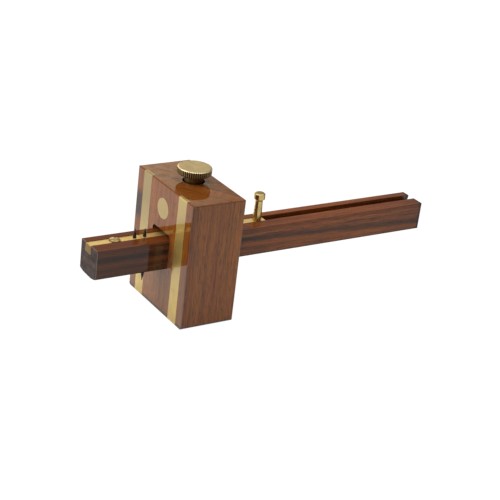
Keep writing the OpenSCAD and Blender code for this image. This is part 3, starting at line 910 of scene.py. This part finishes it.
class MORTISE_OT_pins(bpy.types.Operator):
    """Makes the three steel marking pins"""

    bl_idname = "mortise.pins"
    bl_label = "Marking pins"

    def execute(self, context):
        size = context.scene.gauge.pins
        steel = dark_steel("pin_steel", context.scene.gauge.steel)
        for node, cone, up in (
            ("fixed_pin", size.fixed_cone, 1),
            ("moving_pin", size.moving_cone, 1),
            ("single_pin", size.single_cone, -1),
        ):
            skins = [self.pin(node, cone, up, size.point_d)]
            piece = piece_from_skins("ground_" + node, skins, 30)
            place_piece(piece, steel, node)
        return {"FINISHED"}

    def pin(self, node, cone, up, point_d):
        """Straight root, long cone and round point. up is 1 or -1, as the pin points up or down."""
        low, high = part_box(node)
        radius = (high.x - low.x) / 2
        tip = point_d / 2
        reach = high.z - low.z
        edge = 0.1 * MM
        cone_rings = 12
        radii, heights = join_profile(
            (radius - edge, 0),
            (radius, edge),
            (radius, reach - cone),
            (np.linspace(radius, tip, cone_rings)[1:],
             np.linspace(reach - cone, reach - tip, cone_rings)[1:]),
            arc(0, reach - tip, tip, 15, 80, 5))
        z = low.z + heights if up > 0 else high.z - heights
        return turned_skin(radii[::up], z[::up], round_angles(48), upright_axis(node))


class MORTISE_OT_pull_knob(bpy.types.Operator):
    """Makes the turned pull knob with its tenon"""

    bl_idname = "mortise.pull_knob"
    bl_label = "Pull knob"

    def execute(self, context):
        size = context.scene.gauge.knob
        low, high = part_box("pull_knob")
        at = upright_axis("pull_knob")
        piece = piece_from_skins("turned_pull_knob", [self.knob(size, low.z, high.z, at)], 35)
        material = turned_brass("knob_brass", context.scene.gauge.polished, at, 6)
        place_piece(piece, material, "pull_knob")
        return {"FINISHED"}

    def knob(self, size, low, high, at):
        """Tenon, slightly tapered shaft, hollow flare and chamfered head, turned about one axis."""
        base = high - size.height
        neck_z = high - size.head_h - size.flare
        foot, neck, head = size.foot_d / 2, size.neck_d / 2, size.head_d / 2
        edge = 0.12 * MM
        flare_stop = math.degrees(math.acos((head - neck - size.flare) / size.flare))
        flare_r, flare_z = arc(neck + size.flare, neck_z, size.flare, 180, flare_stop, 14)
        radii, heights = join_profile(
            (size.tenon_d / 2, low),
            (size.tenon_d / 2, base),
            (foot - edge, base),
            (np.linspace(foot, neck, 10), np.linspace(base + edge, neck_z, 10)),
            (flare_r[1:], flare_z[1:]),
            arc(head - edge, flare_z[-1] + 2 * edge, edge, -30, 0, 4),
            (head, high - size.chamfer - edge),
            arc(head - 2 * edge, high - size.chamfer - edge, 2 * edge, 0, 45, 4),
            (head - size.chamfer - edge / 2, high - edge / 4),
            (head - size.chamfer - edge * 1.5, high),
            (head * 0.4, high))
        return turned_skin(radii, heights, round_angles(96), at)


class MORTISE_OT_stage(bpy.types.Operator):
    """Makes the floor, the soft light and the camera"""

    bl_idname = "mortise.stage"
    bl_label = "Stage"

    wall_side = (-0.863, 0.505, 0)      # direction of the cream wall
    wall_edge = (-0.1, 0.01)            # how far to that side it begins, and is full
    wall_top = (0.378, 0.41)            # height in the sky at which it begins to end, and ends
    key_at = (-0.8, 0.35, 0.5)          # place of the soft light,
    key_aim = (0.02, 0, 0.03)           # and the point that it faces

    def execute(self, context):
        stage = context.scene.gauge.stage
        self.floor(stage)
        self.lights(context.scene, stage)
        self.camera(context.scene, stage)
        settings = context.scene.view_settings
        settings.view_transform = "Standard"
        settings.look = "None"
        return {"FINISHED"}

    def floor(self, stage):
        """Flat disc of rings of growing radius, with its rim turned under by a hair.

        As in the photograph, the paper is burnt out: the camera sees it nearly white, while it
        still takes shadows that the lacquer and the brass reflect.
        """
        angles = round_angles(64)
        radii = np.array([1.0, 1.0, 0.5, 0.1]) * stage.floor_radius
        heights = np.array([-0.002, -0.001, -0.0001, -0.0001])
        floor = piece_from_skins("floor", [turned_skin(radii, heights, angles, (0, 0, 0))], 30)
        s = Shader(bpy.data.materials.new("floor_paper"))
        speck = s.noise(s.stretch(s.millimetres(), (0.05, 0.05, 0.05)))
        paler = tuple(min(1, c * 1.01) for c in stage.floor_colour)
        paper = s.principled({
            "Base Color": s.mix(speck, stage.floor_colour, paler),
            "Roughness": 0.9,
            "Specular IOR Level": 0.1,
            "Emission Color": (1, 1, 1, 1),
            "Emission Strength": stage.floor_glow,
        })
        rays = s.add("LightPath")["Is Camera Ray"]
        white = s.add("Emission", {"Strength": 1.05})[0]
        burnt = s.times(rays, stage.floor_white)
        shown = s.add("MixShader", {0: burnt, 1: paper, 2: white})[0]
        floor.data.materials.append(s.finish(shown))

    def lights(self, scene, stage):
        """White cloth overhead that darkens to the room at its sides, a low cream wall behind on
        the left, and one large soft light from the left."""
        s = Shader(bpy.data.worlds.new("light_tent"))
        direction = s.add("TexCoord")["Generated"]
        height = s.split(direction)[2]
        inputs = {0: direction, 1: self.wall_side}
        to_side = s.add("VectorMath", inputs, operation="DOT_PRODUCT")["Value"]
        smooth = "SMOOTHSTEP"
        cloth = s.ramp(height, stage.tent_from, stage.tent_full, stage.room, stage.tent, smooth)
        beside = s.ramp(to_side, *self.wall_edge, 0, stage.back, smooth)
        wall = s.times(beside, s.ramp(height, *self.wall_top, 1, 0, smooth))
        glows = [
            s.add("Background", {"Color": (*tint, 1), "Strength": strength})[0]
            for tint, strength in (((1, 1, 1), cloth), (stage.back_colour, wall))]
        scene.world = s.finish(s.add("AddShader", enumerate(glows))[0])
        key = bpy.data.lights.new("soft_key", "AREA")
        key.shape = "DISK"
        key.size = 1.0
        key.energy = stage.key
        lamp = bpy.data.objects.new("soft_key", key)
        lamp.location = self.key_at
        aim = Vector(self.key_aim) - lamp.location
        lamp.rotation_euler = aim.to_track_quat("-Z", "Y").to_euler()
        scene.collection.objects.link(lamp)

    def camera(self, scene, stage):
        """Camera at the photograph's place, from its solved aim and its right-hand direction."""
        back = -Vector(stage.camera_aim).normalized()
        right = Vector(stage.camera_right).normalized()
        up = back.cross(right).normalized()
        data = bpy.data.cameras.new("photo_camera")
        data.lens = stage.lens
        data.sensor_width = 36
        data.clip_start = 0.01
        data.clip_end = 20
        camera = bpy.data.objects.new("photo_camera", data)
        turn = Matrix((right, up, back)).transposed().to_4x4()
        camera.matrix_world = Matrix.Translation(stage.camera_at) @ turn
        scene.collection.objects.link(camera)
        scene.camera = camera


STEPS = (
    MORTISE_OT_stage, MORTISE_OT_fence, MORTISE_OT_inlays, MORTISE_OT_stem, MORTISE_OT_slide,
    MORTISE_OT_thumb_screw, MORTISE_OT_plate_screw, MORTISE_OT_pins, MORTISE_OT_pull_knob,
)


class MORTISE_PT_panel(bpy.types.Panel):
    """Lists the pieces of the gauge"""

    bl_idname = "MORTISE_PT_panel"
    bl_label = "Mortise Gauge"
    bl_space_type = "VIEW_3D"
    bl_region_type = "UI"
    bl_category = "Mortise Gauge"

    def draw(self, context):
        for step in STEPS:
            self.layout.operator(step.bl_idname)


CLASSES = (
    WoodLook, MetalLook, ThumbScrewSizes, PlateScrewSizes, PinSizes, KnobSizes, StageSettings,
    GaugeSettings, *STEPS, MORTISE_PT_panel,
)


def register():
    """Registers the settings, the operators and the panel."""
    for cls in CLASSES:
        bpy.utils.register_class(cls)
    bpy.types.Scene.gauge = PointerProperty(type=GaugeSettings)


def unregister():
    """Takes back what register did."""
    del bpy.types.Scene.gauge
    for cls in reversed(CLASSES):
        bpy.utils.unregister_class(cls)


def main():
    register()
    set_finishes(bpy.context.scene.gauge)
    for step in STEPS:
        group, action = step.bl_idname.split(".")
        getattr(getattr(bpy.ops, group), action)()


if __name__ == "__main__":
    main()
